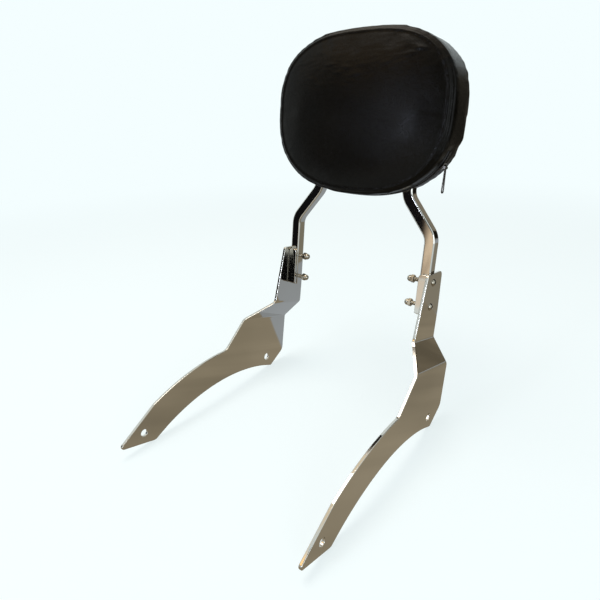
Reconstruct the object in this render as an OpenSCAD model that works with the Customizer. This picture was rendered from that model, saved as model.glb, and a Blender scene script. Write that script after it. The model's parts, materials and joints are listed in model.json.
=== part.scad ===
/* [Side plates] */
// Distance between the outer faces of the two lower plates
plate_span = 300; // [260:1:340]
// Thickness of the plate steel
plate_t = 4; // [3:0.5:6]
// How far each plate jogs inward between its arm and its head
jog_in = 27; // [18:1:34]
// Distance between the rear hole and the front hole
hole_pitch = 251; // [240:1:262]
// Diameter of the rear hole
rear_hole_d = 11; // [8:0.5:14]
// Diameter of the front hole
front_hole_d = 10; // [8:0.5:13]
// Depth of the arm, from its lower arch to its upper one
arm_depth = 47; // [43:1:50]
// Radius of the arch under the arm
arch_r = 278; // [265:1:300]
// Inner radius of the two bends of the jog
bend_r = 5; // [3:0.5:8]
// Height of the plate's head above the rear hole
head_top = 192; // [186:1:198]

/* [Upright] */
// Outer width of the square tube
tube_w = 15; // [14:0.5:17]
// Radius of the tube's corners
tube_r = 2.2; // [1.5:0.1:3]
// Wall of the tube
tube_wall = 1.5; // [1.2:0.1:2]
// Angle by which the upright leans back
rake = 8.4; // [6:0.1:11]
// Length of the straight leg below the first bend
leg_len = 107; // [96:1:112]
// Angle at which the leg turns inward
turn = 39; // [32:1:44]
// Centre line radius of the lower bends
turn_r = 26; // [20:1:32]
// Distance between the centre lines of the legs inside the pad
hoop_w = 143; // [135:1:155]
// Height of the top of the hoop above the foot of the leg
hoop_h = 332; // [322:1:338]
// Centre line radius of the hoop's top corners
hoop_r = 38; // [30:1:44]

/* [Foot and bolts] */
// Thickness of the strap in front of each leg's foot
strap_t = 4.5; // [3:0.5:6]
// Length of the strap
strap_len = 55; // [50:1:58]
// Height of the strap's lower end above the foot of the leg
strap_up = 2; // [1:0.5:4]
// Distance between the two bolts of a leg
bolt_pitch = 34; // [28:1:36]
// Height of the lower bolt above the foot of the leg
bolt_up = 13; // [11:0.5:16]
// Thread diameter of the bolts
bolt_d = 6; // [5:0.5:6]
// Diameter of the button head
head_d = 10.5; // [9:0.5:12]
// Height of the button head
head_h = 3.3; // [2.5:0.1:4]
// Width across the flats of the hexagon socket
socket_af = 4; // [3:0.5:5]
// Width across the flats of the dome nut
nut_af = 10; // [9:0.5:11]
// Height of the nut's hexagon
nut_hex_h = 5; // [4:0.5:6]
// Length of bare thread between the tube and the nut
bare_thread = 8.5; // [6:0.5:11]

/* [Pad] */
// Width of the pad
pad_w = 262; // [250:1:280]
// Height of the pad
pad_h = 205; // [198:1:212]
// Depth of the pad's side band
pad_d = 46; // [43:1:52]
// How far the front of the pad swells out of the band
crown = 15; // [8:1:20]
// Height of the pad's middle above the foot of the leg
pad_up = 257; // [253:1:263]
// Thickness of the cover material
cover_t = 1.5; // [1:0.1:2]
// Thickness of the stiffening board
board_t = 4; // [3:0.5:6]
// Squareness of the pad's upper corners, 2 for an ellipse
square_top = 2.7; // [2.4:0.1:3]
// Squareness of its lower corners
square_low = 2.4; // [2.1:0.05:2.8]
// Width of the zip's tape
tape_w = 8; // [7:0.5:9]
// Length of the zip's pull
pull_len = 31; // [24:1:36]

/* [Hidden] */
$fn = 48;

chrome = [0.62, 0.60, 0.56];
dark_steel = [0.45, 0.43, 0.40];
vinyl = [0.07, 0.07, 0.08];
foam = [0.85, 0.80, 0.55];
wood = [0.72, 0.58, 0.38];
nickel = [0.70, 0.68, 0.62];

// Fit clearance between a bolt and its hole, and between foam and tube
fit = 0.25;
gap = 0.3;
outer_x = plate_span / 2;
head_x = outer_x - jog_in;
leg_x = head_x - plate_t - tube_w / 2;

// The middle and the peak of the arch under the arm, from the rear hole
arch_mid = -hole_pitch / 2 + 12;
arch_peak = 7;

// Foot of the legs, from the rear hole
foot_y = 44.6;
foot_z = 130;

// Longer than a plate in every direction
reach = hole_pitch + head_top;

// The jog's two creases run down to the rear at this angle
crease = 16.4;
crease_low = 71.8;
crease_high = 103.5;

// Depths of the pad's layers, from the tube's centre line to the front
band_back = tube_w / 2 + 5.5;
band_front = band_back - pad_d;
board_back = -tube_w / 2 - gap;

// Width of the slot that each leg passes through, and the zip's place ahead of it
leg_slot = tube_w + 2;
zip_y = -leg_slot / 2 - tape_w / 2 - 1;

// Heights of the zip's tape and teeth above the band
tape_t = 0.9;
teeth_h = 1.4;

// Points of an arc about c
function arc(c, r, a0, a1, n) = [for (i = [0:n]) let (a = a0 + (a1 - a0) * i / n) c + r * [cos(a), sin(a)]];

function unit(v) = v / norm(v);

// The round that replaces corner b between its neighbours a and c
function corner(a, b, c, r, n = 8) =
    let (u = unit(a - b), v = unit(c - b), half = acos(u * v) / 2)
    let (m = b + unit(u + v) * r / sin(half), p = b + u * r / tan(half), q = b + v * r / tan(half))
    let (a0 = atan2(p[1] - m[1], p[0] - m[0]), a1 = atan2(q[1] - m[1], q[0] - m[0]))
    let (turned = a1 - a0, da = turned > 180 ? turned - 360 : turned < -180 ? turned + 360 : turned)
    arc(m, r, a0, a0 + da, n);

function corners(pts, radii) = [for (i = [0:len(pts) - 1])
    let (k = len(pts), a = pts[(i + k - 1) % k], b = pts[i], c = pts[(i + 1) % k])
    each (radii[i] > 0 ? corner(a, b, c, radii[i]) : [b])];

// Height of a crease line at y, for its distance from the rear hole
function crease_z(dist, y) = (dist - y * sin(crease)) / cos(crease);

function arch_centre() = [arch_mid, arch_peak - arch_r];
function arch_at(r, y) = arch_centre()[1] + sqrt(r * r - pow(y - arch_mid, 2));

// The side plate's outline, seen from the side, with the rear hole at the origin
function plate_points() =
    let (upper_r = arch_r + arm_depth, toe_y = -hole_pitch + 15, shoulder_y = -hole_pitch + 22)
    let (knee_y = -89, heel_y = 9, tip = [-hole_pitch - 41, -4])
    let (low = [for (i = [0:12]) let (y = toe_y + (heel_y - toe_y) * i / 12) [y, arch_at(arch_r, y)]])
    let (high = [for (i = [0:10]) let (y = knee_y + (shoulder_y - knee_y) * i / 10) [y, arch_at(upper_r, y)]])
    let (rear = [[42, -4], [54, crease_z(crease_low, 54)], [64.5, crease_z(crease_high, 64.5)], [71.5, 127]])
    let (front = [[1, crease_z(crease_high, 1)], [-45, crease_z(crease_low, -45)]])
    let (head = [[77, head_top - 6], [32, head_top]])
    let (r_low = [for (i = [0:12]) i == 0 ? 6 : i == 12 ? 3 : 0])
    let (r_high = [for (i = [0:10]) i == 0 ? 14 : i == 10 ? 5 : 0])
    let (r_rear = [12, 10, 10, 40], r_head = [7, 4], r_front = [16, 14])
    corners(concat([tip], low, rear, head, front, high), concat([4], r_low, r_rear, r_head, r_front, r_high));

plate_pts = plate_points();

// The plates' lowest corners touch the ground, and the middle of the whole depth is the origin
ground = -min([for (p = plate_pts) p[1]]);
rear_y = foot_y + (pad_up + pad_h / 2) * sin(rake) + band_back * cos(rake);
mid_y = (min([for (p = plate_pts) p[0]]) + rear_y) / 2;

// The jog seen along its creases: sideways place against distance from the rear hole
module jog_section() {
    slope = atan(jog_in / (crease_high - crease_low));
    mid_r = bend_r + plate_t / 2;
    set = mid_r * tan(slope / 2);
    x0 = outer_x - plate_t / 2;
    x1 = head_x - plate_t / 2;
    function side(off) = concat([[x0 + off, -reach]],
        arc([x0 - mid_r, crease_low - set], mid_r + off, 0, slope, 12),
        arc([x1 + mid_r, crease_high + set], mid_r - off, 180 + slope, 180, 12),
        [[x1 + off, reach]]);
    outside = side(plate_t / 2);
    inside = side(-plate_t / 2);
    polygon(concat(outside, [for (i = [len(inside) - 1:-1:0]) inside[i]]));
}

// Places its children at the foot of the leg, leaning back with the upright
module raked() {
    translate([0, foot_y - mid_y, foot_z + ground]) rotate([-rake, 0, 0]) children();
}

// Turns a side view, drawn as y and z, into a solid from x0 to x1
module sideways(x0, x1) {
    translate([x0, 0, 0]) rotate([90, 0, 90]) linear_extrude(height = x1 - x0) children();
}

module side_plate() {
    color(chrome) translate([0, -mid_y, ground]) difference() {
        intersection() {
            sideways(0, plate_span) polygon(plate_pts);
            rotate([-crease, 0, 0]) translate([0, reach, 0]) rotate([90, 0, 0])
                linear_extrude(height = 2 * reach) jog_section();
        }
        sideways(0, plate_span) circle(d = rear_hole_d);
        sideways(0, plate_span) translate([-hole_pitch, 0]) circle(d = front_hole_d);
        translate([0, mid_y, -ground]) raked() bolt_places()
            sideways(0, plate_span) circle(d = bolt_d + fit * 2);
    }
}

// Centres of the two bolts of a leg, in the leaning frame
module bolt_places() {
    for (i = [0:1]) translate([0, -strap_t / 2, bolt_up + i * bolt_pitch]) children();
}

// Section of the square tube, with k steps round each corner
function tube_section(w, r, k) = let (s = w / 2 - r) [for (q = [0:3])
    each arc([s * (q == 0 || q == 3 ? 1 : -1), s * (q < 2 ? 1 : -1)], r, q * 90, q * 90 + 90, k)];

// Stations along one half of the hoop, from the foot to the top, as x, height and the angle of its outer side
function half_path(extra) =
    let (set = turn_r * tan(turn / 2), inner_x = hoop_w / 2, top_z = hoop_h - tube_w / 2)
    let (second_z = leg_len + (leg_x - inner_x) / tan(turn))
    concat([[leg_x, -extra, 0]],
        [for (i = [0:8]) let (a = turn * i / 8)
            [leg_x - turn_r + turn_r * cos(a), leg_len - set + turn_r * sin(a), a]],
        [for (i = [8:-1:0]) let (a = turn * i / 8)
            [inner_x + turn_r - turn_r * cos(a), second_z + set - turn_r * sin(a), a]],
        [for (i = [0:14]) let (a = 90 * i / 14)
            [inner_x - hoop_r + hoop_r * cos(a), top_z - hoop_r + hoop_r * sin(a), a]]);

// Sweeps a section, given as outward and rearward places, along the whole hoop
module hoop(section, extra) {
    half = half_path(extra);
    path = concat(half, [for (i = [len(half) - 1:-1:0]) let (p = half[i]) [-p[0], p[1], 180 - p[2]]]);
    n = len(section);
    m = len(path);
    pts = [for (p = path) each [for (q = section) [p[0] + q[0] * cos(p[2]), q[1], p[1] + q[0] * sin(p[2])]]];
    walls = [for (j = [0:m - 2], i = [0:n - 1])
        let (a = j * n + i, b = j * n + (i + 1) % n) [a, a + n, b + n, b]];
    ends = [[for (i = [0:n - 1]) i], [for (i = [n - 1:-1:0]) (m - 1) * n + i]];
    polyhedron(points = pts, faces = concat(walls, ends));
}

module upright_tube() {
    color(chrome) raked() difference() {
        hoop(tube_section(tube_w, tube_r, 4), 0);
        hoop(tube_section(tube_w - 2 * tube_wall, tube_r / 3, 1), 1);
        bolt_places() translate([-outer_x, 0, 0]) rotate([0, 90, 0])
            cylinder(d = bolt_d + fit * 2, h = plate_span);
    }
}

// A strap with round top corners that lies on the front of the tube's foot
module foot_strap() {
    r = 5;
    w = tube_w - 1;
    color(dark_steel) raked() translate([leg_x, -tube_w / 2, strap_up]) rotate([90, 0, 0])
        linear_extrude(height = strap_t) polygon(concat([[-w / 2, 0], [w / 2, 0]],
            arc([w / 2 - r, strap_len - r], r, 0, 90, 8),
            arc([r - w / 2, strap_len - r], r, 90, 180, 8)));
}

// A button head screw along x, its head outside the plate
module screw(i) {
    shank = plate_t + tube_w + bare_thread + nut_hex_h + 1;
    dome_r = (pow(head_d / 2, 2) + pow(head_h, 2)) / (2 * head_h);
    color(dark_steel) raked() translate([head_x, -strap_t / 2, bolt_up + i * bolt_pitch]) rotate([0, 90, 0]) {
        difference() {
            intersection() {
                cylinder(d = head_d, h = head_h);
                translate([0, 0, head_h - dome_r]) sphere(r = dome_r);
            }
            translate([0, 0, head_h * 0.35]) cylinder(d = socket_af / cos(30), h = head_h, $fn = 6);
        }
        translate([0, 0, -shank]) cylinder(d = bolt_d - 0.1, h = shank + 0.1);
    }
}

// A dome nut on the inner end of a screw
module dome_nut(i) {
    ball = nut_af - 0.6;
    tip = plate_t + tube_w + bare_thread;
    seat = [head_x - tip, -strap_t / 2, bolt_up + i * bolt_pitch];
    color(nickel) raked() translate(seat) rotate([0, -90, 0])
        difference() {
            union() {
                intersection() {
                    cylinder(d = nut_af / cos(30), h = nut_hex_h, $fn = 6);
                    cylinder(d1 = nut_af, d2 = nut_af + 6, h = nut_hex_h, $fn = 48);
                }
                translate([0, 0, nut_hex_h + 1]) sphere(d = ball);
                cylinder(d = ball, h = nut_hex_h + 1);
            }
            translate([0, 0, -1]) cylinder(d = bolt_d, h = nut_hex_h + 2.5);
        }
}

// The pad's outline as two halves of superellipses, scaled by k and grown by g
function pad_ring(k, g = 0, n = 72) = [for (i = [0:n - 1])
    let (a = 360 * i / n, c = cos(a), s = sin(a), e = 2 / (s < 0 ? square_low : square_top))
    [(pad_w / 2 * k + g) * sign(c) * pow(abs(c), e), (pad_h / 2 * k + g) * sign(s) * pow(abs(s), e)]];

// Share of the outline and of the crown at each ring of the front
crown_steps = [[1, 0], [0.985, 0.3], [0.955, 0.52], [0.9, 0.7],
    [0.8, 0.84], [0.65, 0.93], [0.45, 0.98], [0.2, 1]];

// A closed skin through rings of [scale, growth, depth]
module lofted(rings, n = 48) {
    m = len(rings);
    pts = [for (s = rings) each [for (p = pad_ring(s[0], s[1], n)) [p[0], s[2], p[1]]]];
    walls = [for (j = [0:m - 2], i = [0:n - 1]) let (a = j * n + i, b = j * n + (i + 1) % n) each
        [[a, b, b + n], [a, b + n, a + n]]];
    ends = [[for (i = [n - 1:-1:0]) i], [for (i = [0:n - 1]) (m - 1) * n + i]];
    polyhedron(points = pts, faces = [for (f = concat(walls, ends)) [for (i = [len(f) - 1:-1:0]) f[i]]]);
}

module on_pad() {
    raked() translate([0, 0, pad_up]) children();
}

// Turns an outline drawn as x and height into a slab from depth y0 back to y1
module slab(y0, y1) {
    translate([0, y1, 0]) rotate([90, 0, 0]) linear_extrude(height = y1 - y0) children();
}

module pad_foam() {
    inset = -cover_t - gap;
    color(foam) on_pad() lofted(concat([[1, inset, board_back - board_t - gap]],
        [for (s = crown_steps) [s[0], inset, band_front - (crown - cover_t - gap) * s[1] + gap]]));
}

module pad_board() {
    color(wood) on_pad() slab(board_back - board_t, board_back) polygon(pad_ring(1, -cover_t - 4));
}

// The rear foam has a channel in which the hoop lies
module pad_back_foam() {
    channel = tube_w + 2 * gap;
    color(foam) difference() {
        on_pad() slab(board_back + gap, band_back - cover_t - gap) polygon(pad_ring(1, -cover_t - gap));
        raked() hoop(tube_section(channel, tube_r / 2, 1), 0);
    }
}

module cover_front() {
    back = band_front;
    outer = [for (s = crown_steps) [s[0], 0, back - crown * s[1]]];
    inner = [for (i = [len(crown_steps) - 1:-1:0])
        let (s = crown_steps[i]) [s[0], -cover_t, back - (crown - cover_t) * s[1]]];
    color(vinyl) on_pad() lofted(concat(inner, outer));
}

// The band has a slot for each leg
module cover_band() {
    color(vinyl) on_pad() difference() {
        slab(band_front, band_back - cover_t) difference() {
            polygon(pad_ring(1));
            polygon(pad_ring(1, -cover_t));
        }
        for (side = [-1, 1])
            translate([side * (hoop_w / 2 + 0.4) - leg_slot / 2, -leg_slot / 2, -pad_h / 2 - 1])
                cube([leg_slot, leg_slot, pad_h / 6]);
    }
}

module cover_back() {
    color(vinyl) on_pad() slab(band_back - cover_t, band_back) polygon(pad_ring(1));
}

// The zip runs under the pad from side to side, between two steps of the outline
zip_steps = [40:68];

// A strip that follows the outline, between two heights above the band
module strip(low, high, width) {
    inner = pad_ring(1, low);
    outer = pad_ring(1, high);
    span = [for (i = zip_steps) i];
    slab(zip_y - width / 2, zip_y + width / 2)
        polygon(concat([for (i = span) outer[i]], [for (j = [len(span) - 1:-1:0]) inner[span[j]]]));
}

module zip_tape() {
    color(vinyl) on_pad() strip(0, tape_t, tape_w);
}

module zip_teeth() {
    color(dark_steel) on_pad() strip(tape_t, tape_t + teeth_h, 4);
}

// The slider sits on the teeth near their right end, and the pull turns on its pin
slider_step = 66;
slider_t = 2.2;
pin_d = 1.8;
knuckle_d = 4;
knuckle_w = 4.6;
pull_w = 7;
pin_out = slider_t + knuckle_d / 2 + 0.5;

// The point of the outline that carries the slider, and its outward direction
slider_seat = let (ring = pad_ring(1, tape_t + teeth_h + 0.15))
    let (a = ring[slider_step - 1], b = ring[slider_step + 1])
    [ring[slider_step], unit([b[1] - a[1], a[0] - b[0]])];

module at_slider(out) {
    at = slider_seat[0] + slider_seat[1] * out;
    on_pad() translate([at[0], zip_y, at[1]]) children();
}

module zip_slider() {
    lug_t = 1.2;
    lug_y = knuckle_w / 2 + 0.3;
    color(nickel) at_slider(0) rotate([0, atan2(-slider_seat[1][1], slider_seat[1][0]), 0]) {
        translate([0, -4.4, -5.5]) cube([slider_t, 8.8, 11]);
        for (side = [0, 1]) mirror([0, side, 0]) translate([slider_t - 0.1, lug_y, -2])
            cube([pin_out - slider_t + 1.6, lug_t, 4]);
        translate([pin_out, lug_y + 0.1, 0]) rotate([90, 0, 0]) cylinder(d = pin_d, h = 2 * lug_y + 0.2);
    }
}

// The pull hangs from the slider's pin, narrow at the pin and wide at its round end
module zip_pull() {
    t = 1.4;
    eye_z = -pull_len + pull_w / 2;
    color(nickel) at_slider(pin_out) difference() {
        union() {
            translate([0, knuckle_w / 2, 0]) rotate([90, 0, 0]) cylinder(d = knuckle_d, h = knuckle_w);
            rotate([0, 0, 90]) slab(-t / 2, t / 2) {
                polygon([[-knuckle_w / 2, 0], [-pull_w / 2, eye_z], [pull_w / 2, eye_z], [knuckle_w / 2, 0]]);
                translate([0, eye_z]) circle(d = pull_w);
            }
        }
        translate([0, pull_w, 0]) rotate([90, 0, 0]) cylinder(d = pin_d + 0.16, h = 2 * pull_w);
        rotate([0, 0, 90]) slab(-t, t) {
            translate([0, eye_z]) circle(d = pull_w - 3);
            polygon([[-0.7, -7], [1.5 - pull_w / 2, eye_z], [pull_w / 2 - 1.5, eye_z], [0.7, -7]]);
        }
    }
}

module place(side) {
    if (side > 0) children();
    else mirror([1, 0, 0]) children();
}

place(-1) side_plate();  // side_plate_left
place(1) side_plate();  // side_plate_right
upright_tube();
place(-1) foot_strap();  // foot_strap_left
place(1) foot_strap();  // foot_strap_right
place(-1) screw(1);  // screw_left_upper
place(-1) screw(0);  // screw_left_lower
place(1) screw(1);  // screw_right_upper
place(1) screw(0);  // screw_right_lower
place(-1) dome_nut(1);  // dome_nut_left_upper
place(-1) dome_nut(0);  // dome_nut_left_lower
place(1) dome_nut(1);  // dome_nut_right_upper
place(1) dome_nut(0);  // dome_nut_right_lower
pad_foam();
pad_board();
pad_back_foam();
cover_front();
cover_band();
cover_back();
zip_tape();
zip_teeth();
zip_slider();
zip_pull();
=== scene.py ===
import json
from math import acos, asin, atan, atan2, cos, degrees, pi, radians, sin, sqrt, tan

import bmesh
import bpy
import numpy as np
from mathutils import Matrix, Vector
from mathutils.geometry import delaunay_2d_cdt


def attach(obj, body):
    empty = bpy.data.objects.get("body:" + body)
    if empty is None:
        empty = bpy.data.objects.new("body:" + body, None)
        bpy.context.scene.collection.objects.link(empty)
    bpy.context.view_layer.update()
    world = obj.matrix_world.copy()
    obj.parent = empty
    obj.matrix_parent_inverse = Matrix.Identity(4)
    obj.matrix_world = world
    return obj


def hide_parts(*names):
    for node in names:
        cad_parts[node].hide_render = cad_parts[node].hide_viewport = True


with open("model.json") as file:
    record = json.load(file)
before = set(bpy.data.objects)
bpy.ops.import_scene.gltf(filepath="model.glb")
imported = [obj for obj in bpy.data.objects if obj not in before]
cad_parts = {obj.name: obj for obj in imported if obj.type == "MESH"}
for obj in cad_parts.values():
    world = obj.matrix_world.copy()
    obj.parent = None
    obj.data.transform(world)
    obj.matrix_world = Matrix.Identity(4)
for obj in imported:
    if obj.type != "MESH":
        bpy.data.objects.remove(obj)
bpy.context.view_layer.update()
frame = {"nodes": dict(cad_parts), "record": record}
print("frame loaded:", len(frame["nodes"]), "nodes")

scene = bpy.context.scene
mm = 0.001
tau = 2 * pi
weldSize, weldShift = 0.002, 0.377  # points closer than this join; the shift keeps round numbers off the steps between
mainBody, pullBody = "frame_and_pad", "pull_tab"
holePos = next(m for m in frame["record"]["mounts"] if m["name"] == "rear_hole_right")["pos_m"]
holeY, holeZ = holePos[1] / mm, holePos[2] / mm  # every measure of the plates starts at their rear holes
mirror = np.diag([-1.0, 1.0, 1.0])
sides = (("right", np.eye(3)), ("left", mirror))
# turns of a flat outline (u, v) with a thickness: u to the rear or along x, v up, thickness along x or to the front
facingX = np.array([[0, 0, 1], [1, 0, 0], [0, 1, 0]], float)
facingFront = np.array([[1, 0, 0], [0, 0, -1], [0, 1, 0]], float)


# ---- surfaces from grids of points, all in millimetres

def unit(v):
    return v / np.maximum(np.linalg.norm(v, axis=-1, keepdims=True), 1e-12)


def gridNormals(p):
    # the cross product of a grid's two central differences; a row that shrinks to a point takes its neighbour's mean
    n = unit(np.cross(np.gradient(p, axis=0), np.roll(p, -1, 1) - np.roll(p, 1, 1)))
    for row, beside in ((0, 1), (-1, -2)):
        if np.ptp(p[row], axis=0).max() < 1e-6:
            n[row] = unit(n[beside].mean(0))
    return n


def patch(p, normals=None):
    # one smooth grid of points whose rows are closed loops
    nu, nv = p.shape[:2]
    n = gridNormals(p) if normals is None else normals
    a, b = np.meshgrid(np.arange(nu - 1), np.arange(nv), indexing="ij")
    d = (b + 1) % nv
    quads = np.stack([a * nv + b, (a + 1) * nv + b, (a + 1) * nv + d, a * nv + d], -1).reshape(-1, 4)
    return p.reshape(-1, 3), n.reshape(-1, 3), quads


def strip(a, b, normalsA, normalsB):
    # the band between two closed loops of points
    return patch(np.stack([a, b]), np.stack([normalsA, normalsB]))


def moved(patches, turn, shift=(0, 0, 0)):
    # every patch turned by a 3x3 matrix and then shifted
    return [(p @ turn.T + np.array(shift, float), n @ turn.T, q) for p, n, q in patches]


def readAll(items, key, width=1, kind=float):
    # one value, or a row of them, for every item of a mesh
    values = np.zeros(len(items) * width, kind)
    items.foreach_get(key, values)
    return values.reshape(-1, width) if width > 1 else values


def buildMesh(name, patches):
    # welds the patches where they meet and keeps each one's own normals, so that the joins stay crisp
    points, normals = (np.concatenate([p[i] for p in patches]) for i in (0, 1))
    starts = np.cumsum([0] + [len(p[0]) for p in patches[:-1]])
    quads = np.concatenate([p[2] + s for p, s in zip(patches, starts)])
    key = np.round(points / weldSize + weldShift).astype(np.int64)
    _, first, same = np.unique(key, axis=0, return_index=True, return_inverse=True)
    corners = same.reshape(-1)[quads]
    keep = corners != np.roll(corners, -1, 1)
    full, three = keep.sum(1) == 4, keep.sum(1) == 3
    faces = corners[full].tolist() + corners[three][keep[three]].reshape(-1, 3).tolist()
    cornerIds = np.concatenate([quads[full].reshape(-1), quads[three][keep[three]]])
    mesh = bpy.data.meshes.new(name)
    mesh.from_pydata((points[first] * mm).tolist(), [], faces)

    def loopKeys():
        sizes = readAll(mesh.polygons, "loop_total", 1, np.int64)
        verts = readAll(mesh.loops, "vertex_index", 1, np.int64)
        return np.repeat(np.arange(len(sizes)), sizes) * len(first) + verts, sizes
    before, _ = loopKeys()
    bm = bmesh.new()
    bm.from_mesh(mesh)
    bmesh.ops.recalc_face_normals(bm, faces=bm.faces[:])
    bm.to_mesh(mesh)
    bm.free()
    after, sizes = loopKeys()
    order = np.argsort(before)
    wanted = normals[cornerIds][order[np.searchsorted(before[order], after)]]
    facing = np.repeat(readAll(mesh.polygons, "normal", 3), sizes, axis=0)
    wanted = np.where((wanted * facing).sum(1, keepdims=True) < 0, -wanted, wanted)
    mesh.polygons.foreach_set("use_smooth", np.ones(len(mesh.polygons), bool))
    mesh.normals_split_custom_set(wanted.tolist())
    return mesh


def newObject(name, data):
    made = bpy.data.objects.new(name, data)
    scene.collection.objects.link(made)
    return made


def addPiece(name, shape, material, replaced=(), body=mainBody):
    # links a mesh, or the mesh that a list of patches makes, puts it under its body's empty and hides the nodes that
    # it replaces
    mesh = buildMesh(name, shape) if isinstance(shape, list) else shape
    mesh.materials.clear()
    mesh.materials.append(material)
    piece = newObject(name, mesh)
    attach(piece, body)
    if replaced:
        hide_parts(*replaced)
    return piece


def addPair(name, replaced, patches, material):
    # the piece itself on the right and its mirror image on the left
    for side, flip in sides:
        addPiece(f"{name}_{side}", moved(patches, flip), material, [f"{replaced}_{side}"])


# ---- outlines

def arcPoints(c, r, a0, a1, n):
    a = np.radians(np.linspace(a0, a1, n + 1))
    return np.c_[c[0] + r * np.cos(a), c[1] + r * np.sin(a)]


def roundCorner(a, b, c, r, n):
    # the arc of radius r that touches both edges at corner b
    u, v = unit(a - b), unit(c - b)
    half = acos(np.clip(u @ v, -1, 1)) / 2
    m = b + unit(u + v) * r / sin(half)
    p, q = b + u * r / tan(half) - m, b + v * r / tan(half) - m
    a0, a1 = degrees(atan2(p[1], p[0])), degrees(atan2(q[1], q[0]))
    turned = (a1 - a0 + 180) % 360 - 180
    return arcPoints(m, r, a0, a0 + turned, n)


def roundCorners(points, radii, n=10):
    points = np.array(points, float)
    k = len(points)
    return np.concatenate([
        roundCorner(points[i - 1], points[i], points[(i + 1) % k], radii[i], n) if radii[i] else points[i:i + 1]
        for i in range(k)])


def anticlockwise(loop):
    x, y = loop[:, 0], loop[:, 1]
    area = (x * np.roll(y, -1) - y * np.roll(x, -1)).sum()
    return loop if area > 0 else loop[::-1]


# ---- plates with rounded edges

def flatFace(height):
    return lambda uv: (np.full(len(uv), float(height)), np.zeros((len(uv), 2)))


def splitLoop(loop, miter, inset, direction, values):
    # puts a point wherever the inset loop crosses a crease, tagged with the crease's number
    d = (loop + miter * inset) @ direction
    e = np.roll(d, -1)
    i, k = np.nonzero((d[:, None] - values) * (e[:, None] - values) < 0)
    t = (values[k] - d[i]) / (e[i] - d[i])
    place = np.r_[np.arange(len(loop)), i + t]
    tags = np.r_[np.full(len(loop), -1), k]

    def filled(a):
        return np.concatenate([a, a[i] + t[:, None] * (np.roll(a, -1, 0)[i] - a[i])])
    order = np.argsort(place, kind="stable")
    return filled(loop)[order], filled(miter)[order], tags[order]


def inside(points, loops):
    # even-odd rule against every side of every loop
    a = np.concatenate(loops)
    b = np.concatenate([np.roll(p, -1, 0) for p in loops])
    x, y = points[:, :1], points[:, 1:]
    rising = (a[:, 1] > y) != (b[:, 1] > y)
    across = np.where(rising, b[:, 1] - a[:, 1], 1)
    return ((rising & (x < (b[:, 0] - a[:, 0]) * (y - a[:, 1]) / across + a[:, 0])).sum(1) % 2) == 1


def slabPatches(outline, holes, topFace, lowFace, edgeRound, direction=(1, 0), creases=(), steps=4):
    # a plate between two faces w(u, v): a quarter circle rounds each edge, from the wall to the face
    direction, creases = np.array(direction, float), np.array(creases, float)
    loops = []
    for loop in [anticlockwise(outline)] + [anticlockwise(h)[::-1] for h in holes]:
        side = np.roll(loop, -1, 0) - loop
        left = unit(np.c_[-side[:, 1], side[:, 0]])
        before = np.roll(left, 1, 0)
        miter = (left + before) / (1 + (left * before).sum(1, keepdims=True))
        loops.append(splitLoop(loop, miter, edgeRound, direction, creases))
    inset = [p + m * edgeRound for p, m, _ in loops]
    flat = np.concatenate(inset)
    tags = np.concatenate([t for _, _, t in loops])
    starts = np.cumsum([0] + [len(p) for p in inset])
    edges = [(int(s + i), int(s + (i + 1) % len(p))) for p, s in zip(inset, starts) for i in range(len(p))]
    along = flat @ np.array([-direction[1], direction[0]])
    for k in range(len(creases)):
        ids = np.nonzero(tags == k)[0]
        ids = ids[np.argsort(along[ids])]
        edges += [(int(a), int(b)) for a, b in zip(ids[::2], ids[1::2])]
    out = delaunay_2d_cdt([Vector(p) for p in flat], edges, [], 0, 1e-7)
    origin = np.array([o[0] if o else -1 for o in out[3]])
    triangles = origin[np.array([f for f in out[2] if len(f) == 3])]
    triangles = triangles[(triangles >= 0).all(1)]
    triangles = triangles[inside(flat[triangles].mean(1), inset)]
    triangles = np.c_[triangles, triangles[:, 2]]
    angles = np.linspace(0, pi / 2, steps + 1)[:, None]
    patches, walls = [], []
    for up, face in ((1, topFace), (-1, lowFace)):
        def facing(uv):
            w, slope = face(uv)
            return w, unit(np.c_[-slope, np.ones(len(uv))]) * up
        w, n = facing(flat)
        patches.append((np.c_[flat, w], n, triangles))
        for j, (p, m, _) in enumerate(loops):
            uv = (p + m * (edgeRound * (1 - np.cos(angles)))[..., None])
            w, n = facing(uv.reshape(-1, 2))
            w = w.reshape(len(angles), -1) - up * edgeRound * (1 - np.sin(angles))
            out = np.concatenate([-unit(m), np.zeros((len(m), 1))], 1)
            n = unit(np.cos(angles)[..., None] * out + np.sin(angles)[..., None] * n.reshape(len(angles), -1, 3))
            ring = np.concatenate([uv, w[..., None]], -1)
            patches.append(patch(ring, n))
            walls.append((j, ring[0], n[0]))
    for j in range(len(loops)):
        top, low = [w for w in walls if w[0] == j]
        patches.append(strip(top[1], low[1], top[2], low[2]))
    return patches


# ---- materials: shared effects as node groups, shaders in the materials themselves

def newGroup(name, inputs, outputs):
    # a group whose sockets are numbers, apart from the one labelled Vector
    group = bpy.data.node_groups.new(name, "ShaderNodeTree")
    for labels, way in ((inputs, "INPUT"), (outputs, "OUTPUT")):
        for label in labels.split():
            kind = "NodeSocketVector" if label == "Vector" else "NodeSocketFloat"
            group.interface.new_socket(label, in_out=way, socket_type=kind)
    return group, group.nodes.new("NodeGroupInput").outputs, group.nodes.new("NodeGroupOutput")


def feed(tree, made, **inputs):
    # links or sets a node's inputs: i2 names a socket by its number, any other key by its label, and a node that is
    # given as a value stands for its first output
    for key, value in inputs.items():
        byNumber = key[0] == "i" and key[1:].isdigit()
        socket = made.inputs[int(key[1:]) if byNumber else key.replace("_", " ")]
        if isinstance(value, bpy.types.Node):
            value = value.outputs[0]
        if isinstance(value, bpy.types.NodeSocket):
            tree.links.new(value, socket)
        else:
            socket.default_value = value


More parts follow.
